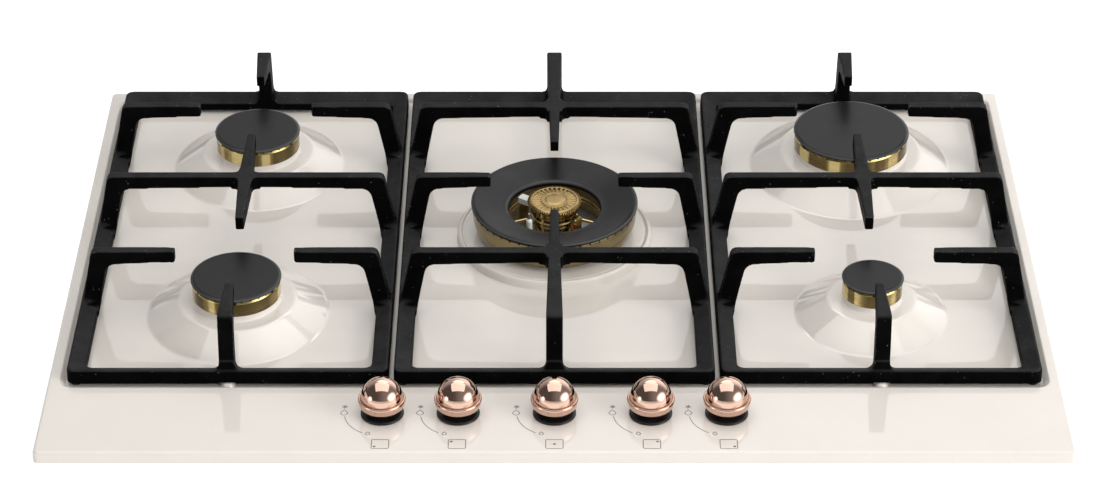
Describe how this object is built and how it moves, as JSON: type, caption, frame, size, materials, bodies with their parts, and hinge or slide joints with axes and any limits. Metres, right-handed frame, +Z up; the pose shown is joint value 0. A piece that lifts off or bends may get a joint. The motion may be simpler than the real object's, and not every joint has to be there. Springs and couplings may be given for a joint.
{
  "type": "gas cooktop",
  "caption": "Built-in gas hob: enamelled plate, cast-iron grates, plain burners round a double-ring wok burner, push-and-turn knobs at the front, gas valves and pipes in a tray below.",
  "frame": {"origin": "middle of the tray's flat underside, under the middle of the plate", "axes": "+X to the right seen from the knobs, +Y to the back, +Z up"},
  "size_m": [0.75, 0.51, 0.1095],
  "materials": {
    "enamel": "gloss ivory vitreous enamel",
    "cast_iron": "black enamelled cast iron, fine-grained",
    "cap_enamel": "satin dark grey enamel",
    "brass": "polished",
    "rose_gold": "polished rose-gold plate",
    "black_plastic": "black, slightly glossy",
    "aluminium": "die-cast",
    "steel": "zinc-plated sheet",
    "copper": "copper-plated",
    "ceramic": "white glazed ceramic",
    "foam": "closed-cell foam",
    "module_plastic": "moulded"
  },
  "bodies": {
    "root": {"top_plate": "enamel", "burner_box": "steel", "seal_strip": "foam", "burner_cup_front_left": "aluminium", "spark_electrode_front_left": "ceramic", "burner_cup_back_left": "aluminium", "spark_electrode_back_left": "ceramic", "burner_cup_back_right": "aluminium", "spark_electrode_back_right": "ceramic", "burner_cup_front_right": "aluminium", "spark_electrode_front_right": "ceramic", "burner_cup_wok": "aluminium", "spark_electrode_wok": "ceramic", "thermocouple_wok": "copper", "knob_bezel_front_left": "black_plastic", "valve_body_front_left": "aluminium", "gas_tube_front_left": "aluminium", "knob_bezel_back_left": "black_plastic", "valve_body_back_left": "aluminium", "gas_tube_back_left": "aluminium", "knob_bezel_back_right": "black_plastic", "valve_body_back_right": "aluminium", "gas_tube_back_right": "aluminium", "knob_bezel_front_right": "black_plastic", "valve_body_front_right": "aluminium", "gas_tube_front_right": "aluminium", "knob_bezel_wok": "black_plastic", "valve_body_wok": "aluminium", "gas_tube_wok": "aluminium", "gas_manifold": "steel", "spark_module": "module_plastic", "clamp_front_left": "steel", "clamp_front_right": "steel", "clamp_back_left": "steel", "clamp_back_right": "steel"},
    "grate_left": {"grate_left": "cast_iron"},
    "grate_centre": {"grate_centre": "cast_iron"},
    "grate_right": {"grate_right": "cast_iron"},
    "crown_front_left": {"burner_crown_front_left": "brass"},
    "cap_front_left": {"burner_cap_front_left": "cap_enamel"},
    "crown_back_left": {"burner_crown_back_left": "brass"},
    "cap_back_left": {"burner_cap_back_left": "cap_enamel"},
    "crown_back_right": {"burner_crown_back_right": "brass"},
    "cap_back_right": {"burner_cap_back_right": "cap_enamel"},
    "crown_front_right": {"burner_crown_front_right": "brass"},
    "cap_front_right": {"burner_cap_front_right": "cap_enamel"},
    "wok_outer_crown": {"wok_outer_crown": "brass"},
    "wok_ring_cap": {"wok_ring_cap": "cap_enamel"},
    "wok_inner_crown": {"wok_inner_crown": "brass"},
    "wok_inner_cap": {"wok_inner_cap": "brass"},
    "plug_front_left": {"valve_plug_front_left": "brass"},
    "knob_front_left": {"knob_front_left": "rose_gold"},
    "plug_back_left": {"valve_plug_back_left": "brass"},
    "knob_back_left": {"knob_back_left": "rose_gold"},
    "plug_back_right": {"valve_plug_back_right": "brass"},
    "knob_back_right": {"knob_back_right": "rose_gold"},
    "plug_front_right": {"valve_plug_front_right": "brass"},
    "knob_front_right": {"knob_front_right": "rose_gold"},
    "plug_wok": {"valve_plug_wok": "brass"},
    "knob_wok": {"knob_wok": "rose_gold"}
  },
  "joints": [
    {"name": "grate_left_lift", "type": "slide", "parent": "root", "child": "grate_left", "axis": [0, 0, 1], "range_m": [0, 0.06]},
    {"name": "grate_centre_lift", "type": "slide", "parent": "root", "child": "grate_centre", "axis": [0, 0, 1], "range_m": [0, 0.06]},
    {"name": "grate_right_lift", "type": "slide", "parent": "root", "child": "grate_right", "axis": [0, 0, 1], "range_m": [0, 0.06]},
    {"name": "crown_front_left_lift", "type": "slide", "parent": "root", "child": "crown_front_left", "axis": [0, 0, 1], "range_m": [0, 0.007]},
    {"name": "cap_front_left_lift", "type": "slide", "parent": "crown_front_left", "child": "cap_front_left", "axis": [0, 0, 1], "range_m": [0, 0.006]},
    {"name": "crown_back_left_lift", "type": "slide", "parent": "root", "child": "crown_back_left", "axis": [0, 0, 1], "range_m": [0, 0.007]},
    {"name": "cap_back_left_lift", "type": "slide", "parent": "crown_back_left", "child": "cap_back_left", "axis": [0, 0, 1], "range_m": [0, 0.006]},
    {"name": "crown_back_right_lift", "type": "slide", "parent": "root", "child": "crown_back_right", "axis": [0, 0, 1], "range_m": [0, 0.007]},
    {"name": "cap_back_right_lift", "type": "slide", "parent": "crown_back_right", "child": "cap_back_right", "axis": [0, 0, 1], "range_m": [0, 0.006]},
    {"name": "crown_front_right_lift", "type": "slide", "parent": "root", "child": "crown_front_right", "axis": [0, 0, 1], "range_m": [0, 0.007]},
    {"name": "cap_front_right_lift", "type": "slide", "parent": "crown_front_right", "child": "cap_front_right", "axis": [0, 0, 1], "range_m": [0, 0.006]},
    {"name": "wok_outer_crown_lift", "type": "slide", "parent": "root", "child": "wok_outer_crown", "axis": [0, 0, 1], "range_m": [0, 0.007]},
    {"name": "wok_ring_cap_lift", "type": "slide", "parent": "wok_outer_crown", "child": "wok_ring_cap", "axis": [0, 0, 1], "range_m": [0, 0.006]},
    {"name": "wok_inner_crown_lift", "type": "slide", "parent": "root", "child": "wok_inner_crown", "axis": [0, 0, 1], "range_m": [0, 0.007]},
    {"name": "wok_inner_cap_lift", "type": "slide", "parent": "wok_inner_crown", "child": "wok_inner_cap", "axis": [0, 0, 1], "range_m": [0, 0.006]},
    {"name": "knob_front_left_turn", "type": "hinge", "parent": "root", "child": "plug_front_left", "pos_m": [-0.1256, -0.2067, 0.055], "axis": [0, 0, 1], "range_deg": [0, 160]},
    {"name": "knob_front_left_push", "type": "slide", "parent": "plug_front_left", "child": "knob_front_left", "axis": [0, 0, -1], "range_m": [0, 0.003], "stiffness_N_per_m": 1500, "springref_m": -0.003},
    {"name": "knob_back_left_turn", "type": "hinge", "parent": "root", "child": "plug_back_left", "pos_m": [-0.0702, -0.2067, 0.055], "axis": [0, 0, 1], "range_deg": [0, 160]},
    {"name": "knob_back_left_push", "type": "slide", "parent": "plug_back_left", "child": "knob_back_left", "axis": [0, 0, -1], "range_m": [0, 0.003], "stiffness_N_per_m": 1500, "springref_m": -0.003},
    {"name": "knob_back_right_turn", "type": "hinge", "parent": "root", "child": "plug_back_right", "pos_m": [0.0702, -0.2067, 0.055], "axis": [0, 0, 1], "range_deg": [0, 160]},
    {"name": "knob_back_right_push", "type": "slide", "parent": "plug_back_right", "child": "knob_back_right", "axis": [0, 0, -1], "range_m": [0, 0.003], "stiffness_N_per_m": 1500, "springref_m": -0.003},
    {"name": "knob_front_right_turn", "type": "hinge", "parent": "root", "child": "plug_front_right", "pos_m": [0.1256, -0.2067, 0.055], "axis": [0, 0, 1], "range_deg": [0, 160]},
    {"name": "knob_front_right_push", "type": "slide", "parent": "plug_front_right", "child": "knob_front_right", "axis": [0, 0, -1], "range_m": [0, 0.003], "stiffness_N_per_m": 1500, "springref_m": -0.003},
    {"name": "knob_wok_turn", "type": "hinge", "parent": "root", "child": "plug_wok", "pos_m": [0, -0.2067, 0.055], "axis": [0, 0, 1], "range_deg": [0, 160]},
    {"name": "knob_wok_push", "type": "slide", "parent": "plug_wok", "child": "knob_wok", "axis": [0, 0, -1], "range_m": [0, 0.003], "stiffness_N_per_m": 1500, "springref_m": -0.003}
  ]
}
